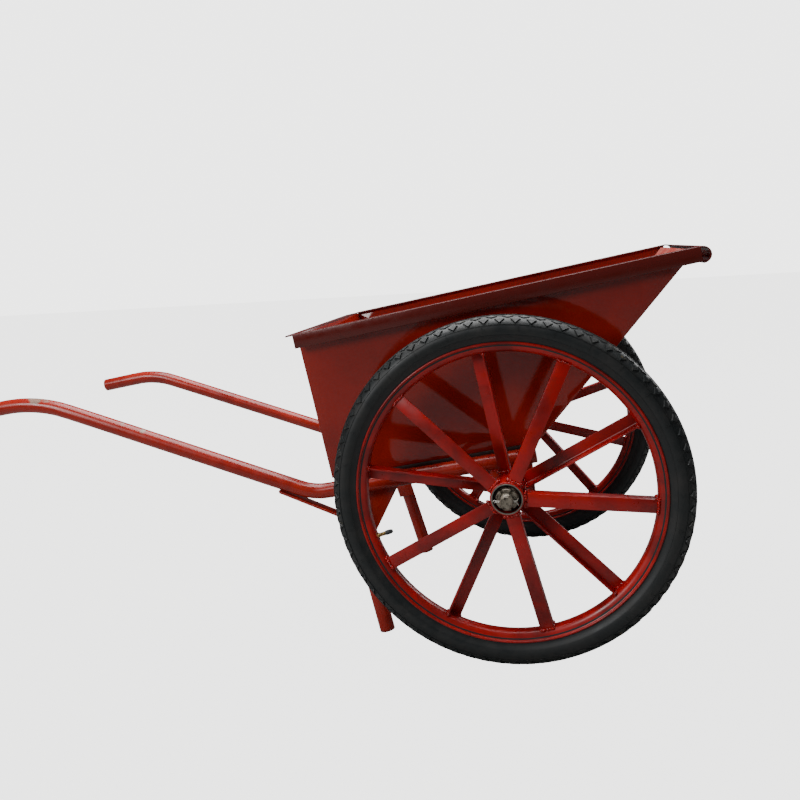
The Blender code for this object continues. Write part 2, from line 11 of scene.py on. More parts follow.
import bmesh
import bpy
from bpy.props import FloatProperty, FloatVectorProperty, IntProperty, PointerProperty
from mathutils import Matrix, Vector, noise


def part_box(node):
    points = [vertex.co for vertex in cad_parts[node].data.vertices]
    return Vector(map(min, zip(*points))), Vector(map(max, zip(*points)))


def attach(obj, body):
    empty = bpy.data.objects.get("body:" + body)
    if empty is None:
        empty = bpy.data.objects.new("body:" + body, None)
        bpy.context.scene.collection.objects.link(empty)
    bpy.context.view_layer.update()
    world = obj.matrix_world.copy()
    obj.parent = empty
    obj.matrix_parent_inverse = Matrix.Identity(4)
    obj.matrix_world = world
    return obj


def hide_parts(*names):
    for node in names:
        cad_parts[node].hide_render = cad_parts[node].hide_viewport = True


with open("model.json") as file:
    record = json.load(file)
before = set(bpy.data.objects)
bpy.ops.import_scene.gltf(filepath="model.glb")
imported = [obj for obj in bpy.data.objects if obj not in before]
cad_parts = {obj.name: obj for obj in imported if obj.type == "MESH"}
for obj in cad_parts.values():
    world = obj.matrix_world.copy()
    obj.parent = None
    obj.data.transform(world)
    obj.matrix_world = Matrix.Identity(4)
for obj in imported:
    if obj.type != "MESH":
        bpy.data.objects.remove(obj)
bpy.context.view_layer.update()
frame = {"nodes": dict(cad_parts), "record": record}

bl_info = {
    "name": "Builder's hand cart",
    "version": (1, 0, 0),
    "blender": (4, 5, 0),
    "location": "3D View > Sidebar > Hand cart",
    "description": "Detailed pieces and painted finishes for a two-wheeled hand cart",
    "category": "Object",
}

# --- Places, read from the frame ----------------------------------------------------------------
RECORD = frame["record"]
JOINTS = {joint["name"]: joint for joint in RECORD["behaviour"]["joints"]}
MOUNTS = {mount["name"]: mount for mount in RECORD["mounts"]}
SIDES = {"right": -1, "left": 1}
SPOKES = 10

AXLE = Vector(JOINTS["wheel_left_spin"]["pos_m"])
HALF_TRACK = AXLE.y
FLOOR_NORMAL = Vector(MOUNTS["load_floor"]["axis"])
PITCH = math.atan2(-FLOOR_NORMAL.x, FLOOR_NORMAL.z)
CART = Matrix.Translation((AXLE.x, 0.0, AXLE.z)) @ Matrix.Rotation(-PITCH, 4, "Y")


def wheel_matrix(side):
    """From a wheel's own frame, +Z outwards, to the cart's frame."""
    sign = SIDES[side]
    turn = Matrix.Rotation(math.radians(-90 * sign), 4, "X")
    return Matrix.Translation((AXLE.x, sign * HALF_TRACK, AXLE.z)) @ turn


def linear(hex_colour):
    """An sRGB hex colour as linear red, green and blue."""
    channels = [int(hex_colour[start:start + 2], 16) / 255 for start in (1, 3, 5)]
    return [c / 12.92 if c <= 0.04045 else ((c + 0.055) / 1.055) ** 2.4 for c in channels]


def colour_property(name, description, hex_colour):
    """A colour that the user can change."""
    return FloatVectorProperty(name=name, description=description, subtype="COLOR", size=3,
                               min=0.0, max=1.0, default=linear(hex_colour))


# --- Settings -----------------------------------------------------------------------------------
class CartSizes(bpy.types.PropertyGroup):
    """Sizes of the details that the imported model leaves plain."""

    tread_blocks: IntProperty(
        name="Tread blocks", description="Blocks round each tread row", default=72, min=12)
    block_height: FloatProperty(
        name="Block height", description="Height of a tread block", unit="LENGTH", default=0.0012)
    mould_lines: IntProperty(
        name="Mould lines", description="Radial lines on each sidewall", default=30, min=0)
    edge_radius: FloatProperty(
        name="Edge radius", description="Rounding of sheet and bar edges", unit="LENGTH",
        default=0.0006)
    root_radius: FloatProperty(
        name="Root fillet", description="Fillet inside an angle iron", unit="LENGTH",
        default=0.0035)
    weld_radius: FloatProperty(
        name="Weld bead", description="Radius of a weld bead", unit="LENGTH", default=0.0026)
    sheet_ripple: FloatProperty(
        name="Sheet ripple", description="How far the tray sheet waves", unit="LENGTH",
        default=0.0009)


class CartColours(bpy.types.PropertyGroup):
    """Colours of the finishes."""

    tray: colour_property("Tray", "Gloss enamel on the tray", "#9A1C0B")
    tray_shade: colour_property("Tray shade", "Darker patches of the tray", "#841608")
    frame: colour_property("Frame", "Enamel on tubes and legs", "#A3210F")
    frame_shade: colour_property("Frame shade", "Darker patches of the frame", "#8C190D")
    wheel: colour_property("Wheel", "Enamel on rims and spokes", "#AE0F0B")
    wheel_shade: colour_property("Wheel shade", "Darker brush patches of the wheels", "#7A0D0A")
    # This rim colour is darkened as painted shade of the rim angle's downward-facing faces.
    rim_painted_shade: colour_property("Rim dirt", "Hand-dirtied enamel of the rim angle", "#59140D")
    primer: colour_property("Primer", "Grey-green primer where paint is worn off", "#8E9080")
    # This near-black is oily dirt in the enamel smears and the grease, and painted shade where it
    # colours the bed strips under the tray.
    grime_and_gap_shade: colour_property("Grime", "Oily dirt in corners", "#1F0C08")
    dust: colour_property("Dust", "Dry mortar dust", "#A59487")
    clay: colour_property("Clay", "Dried clay on the tread", "#97835C")
    rubber: colour_property("Rubber", "Tyre rubber", "#15191A")
    steel: colour_property("Steel", "Greasy bare steel", "#8E8576")


# --- Node and mesh helpers ----------------------------------------------------------------------
def add(tree, kind, inputs=None, **settings):
    """Add one shader node with its settings and links, and give its first output in use.

    An input is called by its name, or by its number where several share a name.
    """
    made = tree.nodes.new("ShaderNode" + kind)
    for name, value in settings.items():
        setattr(made, name, value)
    for name, value in (inputs or {}).items():
        if isinstance(name, int):
            socket = made.inputs[name]
        else:
            socket = next(s for s in made.inputs if s.enabled and s.name == name)
        if isinstance(value, bpy.types.NodeSocket):
            tree.links.new(value, socket)
        else:
            socket.default_value = value
    return next((s for s in made.outputs if s.enabled), None)


def finish(name, paint):
    """The named material, made by its paint function the first time it is asked for."""
    found = bpy.data.materials.get(name)
    if found is None:
        found = bpy.data.materials.new(name)
        found.use_nodes = True
        paint(found.node_tree, found.node_tree.nodes["Principled BSDF"])
    return found


def per_metre(millimetres):
    """The texture scale at which a pattern's features have this size."""
    return 1000.0 / millimetres


def rgba(colour):
    """A colour property as a node socket takes it."""
    return (*colour, 1.0)


def piece(name, bm, body, finishes, replaced=(), smooth=35.0):
    """Turn a bmesh into a finished piece that rides on a body."""
    mesh = bpy.data.meshes.new(name)
    bm.to_mesh(mesh)
    bm.free()
    for material in finishes:
        mesh.materials.append(material)
    mesh.shade_smooth()
    mesh.set_sharp_from_angle(angle=math.radians(smooth))
    made = bpy.data.objects.new(name, mesh)
    bpy.context.scene.collection.objects.link(made)
    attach(made, body)
    if replaced:
        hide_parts(*replaced)
    return made


def spun(profile, steps, matrix=None, closed=True):
    """A profile of (radius, height) points spun about +Z, then put in place."""
    bm = bmesh.new()
    ring = [bm.verts.new((radius, 0.0, height)) for radius, height in profile]
    ahead = ring[1:] + ring[:1] if closed else ring[1:]
    edges = [bm.edges.new(pair) for pair in zip(ring, ahead)]
    bmesh.ops.spin(bm, geom=ring + edges, cent=(0.0, 0.0, 0.0), axis=(0.0, 0.0, 1.0),
                   angle=2 * math.pi, steps=steps, use_merge=True)
    bmesh.ops.remove_doubles(bm, verts=bm.verts, dist=0.00001)
    bmesh.ops.recalc_face_normals(bm, faces=bm.faces)
    if matrix is not None:
        bm.transform(matrix)
    return bm


def merge(bm, other):
    """Add another bmesh's shape to this one."""
    mesh = bpy.data.meshes.new("merged")
    other.to_mesh(mesh)
    other.free()
    bm.from_mesh(mesh)
    bpy.data.meshes.remove(mesh)


def copies_round(bm, verts, count):
    """Repeat a shape round +Z, evenly, to a count in all."""
    faces = {face for vert in verts for face in vert.link_faces}
    edges = {edge for vert in verts for edge in vert.link_edges}
    bmesh.ops.spin(bm, geom=list(verts) + list(edges) + list(faces), cent=(0.0, 0.0, 0.0),
                   axis=(0.0, 0.0, 1.0), angle=2 * math.pi * (count - 1) / count,
                   steps=count - 1, use_duplicate=True)


def arc(centre, radius, start, end, steps):
    """Points along an arc, from one angle to another, in degrees."""
    angles = [math.radians(start + (end - start) * step / steps) for step in range(steps + 1)]
    return [(centre[0] + radius * math.cos(a), centre[1] + radius * math.sin(a)) for a in angles]


def cad_copy(node):
    """A CAD node's mesh with its loose triangles merged and its flat faces made whole."""
    bm = bmesh.new()
    bm.from_mesh(frame["nodes"][node].data)
    bmesh.ops.remove_doubles(bm, verts=bm.verts, dist=0.00001)
    bmesh.ops.dissolve_limit(bm, angle_limit=math.radians(0.5), verts=bm.verts, edges=bm.edges)
    return bm


SHARP_TURN = math.radians(40)


def sharp_edges(bm, hollow):
    """Edges that turn sharply, either inwards or outwards."""
    found = []
    for edge in bm.edges:
        if len(edge.link_faces) == 2:
            turn = edge.calc_face_angle_signed()
            if abs(turn) > SHARP_TURN and (turn < 0) == hollow:
                found.append(edge)
    return found


def softened(node, edge_radius, root_radius=0.0):
    """A CAD plate or bar with its edges rounded and the root of its angle filled."""
    bm = cad_copy(node)
    bmesh.ops.bevel(bm, geom=sharp_edges(bm, hollow=False), offset=edge_radius, segments=2,
                    profile=0.5, affect="EDGES", material=-1, clamp_overlap=True)
    if root_radius > 0.0:
        bmesh.ops.bevel(bm, geom=sharp_edges(bm, hollow=True), offset=root_radius, segments=4,
                        profile=0.5, affect="EDGES", material=-1, clamp_overlap=True)
    return bm


def weld_bead(bm, points, radius, seed, closed=False):
    """A row of overlapping drops of weld metal along a line of points."""
    chance = random.Random(seed)
    bead = bmesh.new()
    ahead = points[1:] + points[:1] if closed else points[1:]
    for start, end in zip(points, ahead):
        start = Vector(start)
        run = Vector(end) - start
        drops = max(1, round(run.length / (1.05 * radius)))
        for drop in range(drops):
            middle = start + run * ((drop + chance.uniform(0.2, 0.8)) / drops)
            middle += Vector([chance.uniform(-0.22, 0.22) * radius for _ in range(3)])
            size = [radius * chance.uniform(0.75, 1.15) for _ in range(3)]
            turn = Matrix.Rotation(chance.uniform(0.0, math.pi), 4, "Z")
            turn = turn @ Matrix.Rotation(chance.uniform(0.0, math.pi), 4, "X")
            place = Matrix.Translation(middle) @ turn @ Matrix.Diagonal((*size, 1.0))
            bmesh.ops.create_uvsphere(bead, u_segments=8, v_segments=5, radius=1.0,
                                      matrix=place)
    merge(bm, bead)


# --- Finishes -----------------------------------------------------------------------------------
def enamel(tree, shader, tone, shade, patch_mm, gloss, wave_mm=170.0, wave_depth=0.0010,
           worn_at=(), grimy=0.5):
    """Air-dried gloss enamel brushed over steel: patchy, slightly wavy, with oily dirt on it."""
    colours = bpy.context.scene.cart_colours
    place = add(tree, "TexCoord").node.outputs["Object"]
    patches = add(tree, "TexNoise", {"Vector": place, "Scale": per_metre(patch_mm), "Detail": 5.0,
                                     "Roughness": 0.55, "Distortion": 0.4})
    patchy = add(tree, "MapRange", {"Value": patches, "From Min": 0.42, "From Max": 0.62})
    body = add(tree, "Mix", {"Factor": patchy, "A": rgba(tone), "B": rgba(shade)},
               data_type="RGBA")
    smears = add(tree, "TexNoise", {"Vector": place, "Scale": per_metre(26.0), "Detail": 8.0,
                                    "Roughness": 0.7})
    dirty = add(tree, "MapRange", {"Value": smears, "From Min": 0.56, "From Max": 0.74,
                                   "To Max": grimy})
    body = add(tree, "Mix", {"Factor": dirty, "A": body, "B": rgba(colours.grime_and_gap_shade)},
               data_type="RGBA")
    gloss_map = add(tree, "MapRange", {"Value": smears, "From Min": 0.35, "From Max": 0.7,
                                       "To Min": gloss[0], "To Max": gloss[1]})
    if worn_at:
        flakes = add(tree, "TexNoise", {"Vector": place, "Scale": per_metre(14.0), "Detail": 6.0,
                                        "Roughness": 0.6})
        ragged = add(tree, "MapRange", {"Value": flakes, "To Min": -0.010, "To Max": 0.010})
        for spot, reach in worn_at:
            away = add(tree, "VectorMath", {0: place, 1: spot}, operation="DISTANCE")
            edge = add(tree, "Math", {0: away, 1: ragged}, operation="ADD")
            bare = add(tree, "MapRange", {"Value": edge, "From Min": reach,
                                          "From Max": reach + 0.004, "To Min": 0.65,
                                          "To Max": 0.0})
            body = add(tree, "Mix", {"Factor": bare, "A": body, "B": rgba(colours.primer)},
                       data_type="RGBA")
    wave = add(tree, "TexNoise", {"Vector": place, "Scale": per_metre(wave_mm), "Detail": 1.0})
    waved = add(tree, "Bump", {"Height": wave, "Strength": 1.0, "Distance": wave_depth})
    peel = add(tree, "TexNoise", {"Vector": place, "Scale": per_metre(3.0), "Detail": 3.0})
    peeled = add(tree, "Bump", {"Height": peel, "Strength": 0.3, "Distance": 0.0001,
                                "Normal": waved})
    tree.links.new(body, shader.inputs["Base Color"])
    tree.links.new(gloss_map, shader.inputs["Roughness"])
    tree.links.new(peeled, shader.inputs["Normal"])
    shader.inputs["IOR"].default_value = 1.5


def tray_enamel(tree, shader):
    """Sprayed gloss red on the tray's outer faces: deep, and shiny enough to mirror the wheel."""
    colours = bpy.context.scene.cart_colours
    enamel(tree, shader, colours.tray, colours.tray_shade, 210.0, (0.05, 0.13), wave_mm=260.0,
           wave_depth=0.0022, grimy=0.10)


def rim_band_enamel(tree, shader):
    """The same gloss red on the rim angle and nose, darkened all over as painted shade of their shaded
    faces, with oily dirt smeared on.
    """
    colours = bpy.context.scene.cart_colours
    # Both tones are the rim colour, darkened as painted shade; the smears on top are oily dirt.
    enamel(tree, shader, colours.rim_painted_shade, colours.rim_painted_shade, 60.0, (0.16, 0.34), grimy=0.35)


# Where hands and hooks rubbed the right handle: x and z in the cart's own frame, and the reach.
WORN_SPOTS = (
    (-0.985, 0.357, 0.016), (-0.962, 0.352, 0.011), (-0.933, 0.340, 0.006),
    (-0.794, 0.264, 0.007), (-0.753, 0.2365, 0.005))
WORN_Y = -0.250              # on the tube's outer side


def frame_enamel(tree, shader):
    """Brushed red on tubes and legs: soft sheen, rubbed through to primer where hands slide."""
    colours = bpy.context.scene.cart_colours
    worn = [(CART @ Vector((x, WORN_Y, z)), reach) for x, z, reach in WORN_SPOTS]
    enamel(tree, shader, colours.frame, colours.frame_shade, 70.0, (0.20, 0.36), wave_mm=90.0,
           wave_depth=0.0004, worn_at=worn, grimy=0.14)


def wheel_enamel(tree, shader):
    """Brushed bright red on rims, spokes and hubs, streaky, with blotches of thinner paint."""
    colours = bpy.context.scene.cart_colours
    enamel(tree, shader, colours.wheel, colours.wheel_shade, 95.0, (0.26, 0.42), wave_mm=60.0,
           wave_depth=0.0003, grimy=0.16)


def weld_enamel(tree, shader):
    """Paint over weld metal: darker, with soot and rust in the hollows between the drops."""
    colours = bpy.context.scene.cart_colours
    enamel(tree, shader, colours.wheel, colours.wheel_shade, 9.0, (0.12, 0.3), grimy=0.5)


def strip_painted_shade(tree, shader):
    """Old paint under the tray, black all over as painted shade of the gap between the tray floor and
    the rail.
    """
    colours = bpy.context.scene.cart_colours
    # Both tones and the smears are near-black: painted shade of the gap under the tray.
    enamel(tree, shader, colours.grime_and_gap_shade, colours.grime_and_gap_shade, 40.0, (0.5, 0.8), grimy=0.5)


def dusty_enamel(tree, shader):
    """The tray's inner faces: enamel scoured dull and filmed with dry mortar dust."""
    colours = bpy.context.scene.cart_colours
    place = add(tree, "TexCoord").node.outputs["Object"]
    film = add(tree, "TexNoise", {"Vector": place, "Scale": per_metre(90.0), "Detail": 9.0,
                                  "Roughness": 0.68, "Distortion": 0.5})
    filmed = add(tree, "MapRange", {"Value": film, "From Min": 0.40, "From Max": 0.70,
                                    "To Min": 0.04, "To Max": 0.34})
    body = add(tree, "Mix", {"Factor": filmed, "A": rgba(colours.tray), "B": rgba(colours.dust)},
               data_type="RGBA")
    along = add(tree, "Mapping", {"Vector": place, "Scale": (0.06, 1.0, 1.0)})
    scratch = add(tree, "TexNoise", {"Vector": along, "Scale": per_metre(2.5), "Detail": 4.0})
    scratched = add(tree, "MapRange", {"Value": scratch, "From Min": 0.62, "From Max": 0.70,
                                       "To Max": 0.45})
    body = add(tree, "Mix", {"Factor": scratched, "A": body, "B": rgba(colours.grime_and_gap_shade)},
               data_type="RGBA")
    rough = add(tree, "MapRange", {"Value": film, "To Min": 0.30, "To Max": 0.65})
    bumped = add(tree, "Bump", {"Height": scratch, "Strength": 0.5, "Distance": 0.0003})
    tree.links.new(body, shader.inputs["Base Color"])
    tree.links.new(rough, shader.inputs["Roughness"])
    tree.links.new(bumped, shader.inputs["Normal"])


CLAY_FROM = 0.318            # dried clay sticks to the tread between these radii, more and more
CLAY_FULL = 0.332


def tyre_rubber(side):
    """Moulded black rubber: matt, grey-bloomed on the sidewall, clay dried on the tread."""
    def paint(tree, shader):
        colours = bpy.context.scene.cart_colours
        centre = (-AXLE.x, -SIDES[side] * HALF_TRACK, -AXLE.z)
        place = add(tree, "TexCoord").node.outputs["Object"]
        about = add(tree, "Mapping", {"Vector": place, "Location": centre})
        flat = add(tree, "VectorMath", {0: about, 1: (1.0, 0.0, 1.0)}, operation="MULTIPLY")
        radius = add(tree, "VectorMath", {"Vector": flat}, operation="LENGTH")
        outer = add(tree, "MapRange", {"Value": radius, "From Min": CLAY_FROM,
                                       "From Max": CLAY_FULL})
        specks = add(tree, "TexNoise", {"Vector": place, "Scale": per_metre(16.0),
                                        "Detail": 7.0, "Roughness": 0.75})
        specked = add(tree, "MapRange", {"Value": specks, "From Min": 0.60, "From Max": 0.66})
        drifts = add(tree, "TexNoise", {"Vector": place, "Scale": per_metre(240.0)})
        drifted = add(tree, "MapRange", {"Value": drifts, "From Min": 0.46, "From Max": 0.60})
        clay = add(tree, "Math", {0: specked, 1: drifted}, operation="MULTIPLY")
        clay_out = add(tree, "Math", {0: clay, 1: outer}, operation="MULTIPLY")
        bloom = add(tree, "TexNoise", {"Vector": place, "Scale": per_metre(55.0), "Detail": 8.0,
                                       "Roughness": 0.7})
        bloomed = add(tree, "MapRange", {"Value": bloom, "From Min": 0.45, "From Max": 0.75,
                                         "To Max": 0.05})
        body = add(tree, "Mix", {"Factor": bloomed, "A": rgba(colours.rubber),
                                 "B": rgba(colours.dust)}, data_type="RGBA")
        body = add(tree, "Mix", {"Factor": clay_out, "A": body, "B": rgba(colours.clay)},
                   data_type="RGBA")
        rough = add(tree, "MapRange", {"Value": bloom, "From Min": 0.3, "From Max": 0.7,
                                       "To Min": 0.38, "To Max": 0.6})
        grain = add(tree, "TexNoise", {"Vector": place, "Scale": per_metre(1.6), "Detail": 2.0})
        bumped = add(tree, "Bump", {"Height": grain, "Strength": 0.4, "Distance": 0.0003})
        tree.links.new(body, shader.inputs["Base Color"])
        tree.links.new(rough, shader.inputs["Roughness"])
        tree.links.new(bumped, shader.inputs["Normal"])
    return finish(f"moulded_tyre_rubber_{side}", paint)


def greasy_steel(tree, shader):
    """Turned steel under old grease: brown-grey, blotchy, half metallic to the eye."""
    colours = bpy.context.scene.cart_colours
    place = add(tree, "TexCoord").node.outputs["Object"]
    grease = add(tree, "TexNoise", {"Vector": place, "Scale": per_metre(7.0), "Detail": 6.0,
                                    "Roughness": 0.65})
    greased = add(tree, "MapRange", {"Value": grease, "From Min": 0.46, "From Max": 0.66})
    body = add(tree, "Mix", {"Factor": greased, "A": rgba(colours.steel),
                             "B": rgba(colours.grime_and_gap_shade)}, data_type="RGBA")
    rough = add(tree, "MapRange", {"Value": grease, "To Min": 0.30, "To Max": 0.62})
    bumped = add(tree, "Bump", {"Height": grease, "Strength": 0.6, "Distance": 0.0004})
    tree.links.new(body, shader.inputs["Base Color"])
    tree.links.new(rough, shader.inputs["Roughness"])
    tree.links.new(bumped, shader.inputs["Normal"])
    shader.inputs["Metallic"].default_value = 0.4


def bright_metal(base, rough_low, rough_high):
    """Bare drawn or turned metal with fine scratches."""
    def paint(tree, shader):
        place = add(tree, "TexCoord").node.outputs["Object"]
        scratch = add(tree, "TexNoise", {"Vector": place, "Scale": per_metre(1.2),
                                         "Detail": 5.0})
        rough = add(tree, "MapRange", {"Value": scratch, "To Min": rough_low,
                                       "To Max": rough_high})
        stain = add(tree, "TexNoise", {"Vector": place, "Scale": per_metre(6.0)})
        stained = add(tree, "MapRange", {"Value": stain, "From Min": 0.5, "From Max": 0.7,
                                         "To Max": 0.5})
        dull = [channel * 0.45 for channel in linear(base)]
        body = add(tree, "Mix", {"Factor": stained, "A": rgba(linear(base)), "B": rgba(dull)},
                   data_type="RGBA")
        tree.links.new(body, shader.inputs["Base Color"])
        tree.links.new(rough, shader.inputs["Roughness"])
        shader.inputs["Metallic"].default_value = 1.0
    return paint


def black_plastic(tree, shader):
    """Moulded black polyethylene cap, slightly greyed."""
    place = add(tree, "TexCoord").node.outputs["Object"]
    scuff = add(tree, "TexNoise", {"Vector": place, "Scale": per_metre(3.0), "Detail": 4.0})
    body = add(tree, "Mix", {"Factor": scuff, "A": rgba(linear("#15181A")),
                             "B": rgba(linear("#33383A"))}, data_type="RGBA")
    tree.links.new(body, shader.inputs["Base Color"])
    shader.inputs["Roughness"].default_value = 0.5


def seal_rubber_and_recess_shade(tree, shader):
    """Black nitrile bearing seal smeared with grease, its near-black also painted shade deep in the
    hub's recess.
    """
    place = add(tree, "TexCoord").node.outputs["Object"]
    smear = add(tree, "TexNoise", {"Vector": place, "Scale": per_metre(8.0), "Detail": 5.0})
    body = add(tree, "Mix", {"Factor": smear, "A": rgba(linear("#0B0B0A")),
                             "B": rgba(linear("#1C1813"))}, data_type="RGBA")
    rough = add(tree, "MapRange", {"Value": smear, "To Min": 0.3, "To Max": 0.7})
    tree.links.new(body, shader.inputs["Base Color"])
    tree.links.new(rough, shader.inputs["Roughness"])


BACKDROP = 4.4               # how bright the backdrop looks
PAPER_SHARE = 0.72           # how much of the paper's look is that glow
AIR_SHARE = 0.83             # the air's brightness beside the backdrop's, to match the lit paper
AIR_FILL = 0.19              # what the air adds to the light on the cart


def studio_paper(tree, shader):
    """Pale matt backdrop paper, lit from behind so that it stays white round a soft shadow."""
    place = add(tree, "TexCoord").node.outputs["Object"]
    fibre = add(tree, "TexNoise", {"Vector": place, "Scale": per_metre(4.0)})
    body = add(tree, "Mix", {"Factor": fibre, "A": rgba(linear("#8E8E8D")),
                             "B": rgba(linear("#868684"))}, data_type="RGBA")
    tree.links.new(body, shader.inputs["Base Color"])
    shader.inputs["Roughness"].default_value = 0.95
    glow = add(tree, "Emission", {"Color": rgba(linear("#FAFAF9")), "Strength": BACKDROP})
    seen = add(tree, "LightPath").node.outputs["Is Camera Ray"]
    share = add(tree, "MapRange", {"Value": seen, "To Max": PAPER_SHARE})
    both = add(tree, "MixShader", {0: share, 1: shader.outputs[0], 2: glow})
    tree.links.new(both, tree.nodes["Material Output"].inputs["Surface"])


# --- Wheels -------------------------------------------------------------------------------------
CASING_CENTRE = 0.3075       # middle of the casing's section, from the axle
CASING_HEIGHT = 0.0246       # half heights of that section, along the radius and along the axle
CASING_WIDTH = 0.0268
CASING_WALL = 0.0035
WHEEL_STEPS = 144            # steps round a tyre or a rim

# Places on the casing's section, as degrees from the crown.
BEAD_ANGLE = 128             # where the sidewall turns into the bead
BEAD_ANGLE_INSIDE = 120
SHOULDER_BLOCK_ANGLE = 49
MIDDLE_BLOCK_ANGLE = 25
SHOULDER_RIDGE_ANGLES = (66, 68)
RIM_RIDGE_ANGLES = (112, 114)

SHOULDER_BLOCK = (0.0115, 0.0070)    # half sizes of a block, round the tyre and across it
MIDDLE_BLOCK = (0.0110, 0.0048)
MIDDLE_BLOCK_SHARE = 0.55    # its height beside a shoulder block's
BLOCK_TOP = 0.82             # a block's top beside its foot
RIDGE_ROOT = -0.0006
SHOULDER_RIDGE_HEIGHT = 0.0010
RIM_RIDGE_HEIGHT = 0.0006
CENTRE_RIB = ((0.3300, -0.0035), (0.3330, -0.0030), (0.3330, 0.0030), (0.3300, 0.0035))

RIM_FLANGE = (0.2833, 0.0188)        # middle of the beaded edge, and its radius
RIM_BEAD = 0.0022


def casing_point(angle, lift=0.0):
    """A point on the casing's section at an angle from the crown, in degrees, lifted off it."""
    turn = math.radians(angle)
    normal = Vector((math.cos(turn) / CASING_HEIGHT, math.sin(turn) / CASING_WIDTH)).normalized()
    point = Vector((CASING_CENTRE + CASING_HEIGHT * math.cos(turn), CASING_WIDTH * math.sin(turn)))
    return point + normal * lift, normal


def tyre_profile():
    """The casing's closed section, over the tread and back inside it."""
    crown = [casing_point(angle)[0] for angle in range(-BEAD_ANGLE, BEAD_ANGLE + 1, 8)]
    inside = [casing_point(angle, -CASING_WALL)[0]
              for angle in range(BEAD_ANGLE_INSIDE, -BEAD_ANGLE_INSIDE - 1, -16)]
    right_bead = [(0.2868, -0.0186), (0.2780, -0.0168), (0.2748, -0.0150), (0.2790, -0.0130)]
    left_bead = [(radius, -height) for radius, height in right_bead]
    path = right_bead[::-1] + [tuple(p) for p in crown] + left_bead
    return path + [tuple(p) for p in inside]


def tread_block(bm, angle, corners, size, height, turn, offset):
    """One tread block on the casing, standing along the section's normal."""
    length, width = size
    point, normal = casing_point(angle, height / 2)
    up = Vector((normal.x, 0.0, normal.y))
    round_way = Vector((0.0, 1.0, 0.0))
    across = round_way.cross(up)
    stand = Matrix((across, round_way, up)).transposed().to_4x4()
    swing = Matrix.Rotation(offset, 4, "Z")
    place = swing @ Matrix.Translation((point.x, 0.0, point.y)) @ stand
    place = place @ Matrix.Diagonal((width, length, 1.0, 1.0)) @ Matrix.Rotation(turn, 4, "Z")
    made = bmesh.ops.create_cone(bm, cap_ends=True, segments=corners, radius1=1.0, radius2=BLOCK_TOP,
                                 depth=3 * height, matrix=place)
    return made["verts"]


def ridge(sign, angles, height):
    """A thin ridge right round one side of the casing."""
    start, end = angles
    corners = ((start, RIDGE_ROOT), (start, height), (end, height), (end, RIDGE_ROOT))
    return spun([tuple(casing_point(sign * angle, lift)[0]) for angle, lift in corners],
                WHEEL_STEPS)


def mould_line(bm, sign):
    """A hair-thin radial line on the sidewall, from the shoulder ridge towards the rim."""
    angles = range(70, 99, 7)
    half_width = 0.0006
    over = [casing_point(sign * angle, 0.0008)[0] for angle in angles]
    under = [casing_point(sign * angle, -0.0005)[0] for angle in reversed(angles)]
    verts = [bm.verts.new((point.x, -half_width, point.y)) for point in over + under]
    face = bm.faces.new(verts)
    grown = bmesh.ops.extrude_face_region(bm, geom=[face])
    moved = [item for item in grown["geom"] if isinstance(item, bmesh.types.BMVert)]
    bmesh.ops.translate(bm, verts=moved, vec=(0.0, 2 * half_width, 0.0))
    return verts + moved


def build_tyre(context, side):
    """Tyre: casing, four rows of blocks, a centre rib, side ridges and radial mould lines."""
    sizes = context.scene.cart_sizes
    bm = spun(tyre_profile(), WHEEL_STEPS)
    half_pitch = math.pi / sizes.tread_blocks
    height = sizes.block_height
    for sign in (-1, 1):
        apex = sign * math.pi / 2
        verts = tread_block(bm, sign * SHOULDER_BLOCK_ANGLE, 3, SHOULDER_BLOCK, height, apex, 0.0)
        copies_round(bm, verts, sizes.tread_blocks)
        verts = tread_block(bm, sign * MIDDLE_BLOCK_ANGLE, 4, MIDDLE_BLOCK,
                            height * MIDDLE_BLOCK_SHARE, 0.0, half_pitch)
        copies_round(bm, verts, sizes.tread_blocks)
        merge(bm, ridge(sign, SHOULDER_RIDGE_ANGLES, SHOULDER_RIDGE_HEIGHT))
        merge(bm, ridge(sign, RIM_RIDGE_ANGLES, RIM_RIDGE_HEIGHT))
        if sizes.mould_lines:
            copies_round(bm, mould_line(bm, sign), sizes.mould_lines)
    merge(bm, spun(CENTRE_RIB, WHEEL_STEPS))
    bm.transform(wheel_matrix(side))
    bmesh.ops.recalc_face_normals(bm, faces=bm.faces)
    return piece(f"treaded_tyre_{side}", bm, f"wheel_{side}", [tyre_rubber(side)],
                 [f"tyre_{side}"], smooth=50.0)


def rim_profile():
    """The rolled rim's closed section: beaded flanges and a drop centre."""
    flange = arc(RIM_FLANGE, RIM_BEAD, -50, 190, 10)
    slope = [(0.2800, 0.0172), (0.2762, 0.0160), (0.2726, 0.0146), (0.2695, 0.0126),
             (0.2672, 0.0098), (0.2660, 0.0066), (0.2656, 0.0030)]
    outer = flange + slope
    inner = [(0.2672, 0.0030), (0.2677, 0.0062), (0.2690, 0.0090), (0.2711, 0.0115),
             (0.2740, 0.0133), (0.2775, 0.0146)]
    hub_side = outer + [(radius, -height) for radius, height in reversed(outer)]
    tyre_side = [(radius, -height) for radius, height in reversed(inner)] + inner
    return hub_side + tyre_side


def build_rim(side):
    """Rolled steel rim with a beaded edge."""
    bm = spun(rim_profile(), WHEEL_STEPS, wheel_matrix(side))
    return piece(f"rolled_rim_{side}", bm, f"wheel_{side}",
                 [finish("brushed_enamel_wheel", wheel_enamel)], [f"rim_{side}"])


# Hub, nut and axle outlines hold the radius and the height from the wheel's middle plane.
HUB_STEPS = 64
SMALL_STEPS = 48
HUB_BORE = 0.0266
HUB_HALF = 0.0392            # half its length
HUB_EDGE = (0.0297, 0.0380)  # middle of the rounding at each end, and its radius
HUB_EDGE_RADIUS = 0.0018
END_RING = ((0.0262, 0.0385), (0.0267, 0.0402), (0.0286, 0.0402), (0.0291, 0.0392))
SEAL = ((0.0168, 0.0270), (0.0168, 0.0276), (0.0200, 0.0279), (0.0245, 0.0274),
        (0.0260, 0.0268), (0.0260, 0.0120), (0.0168, 0.0120))


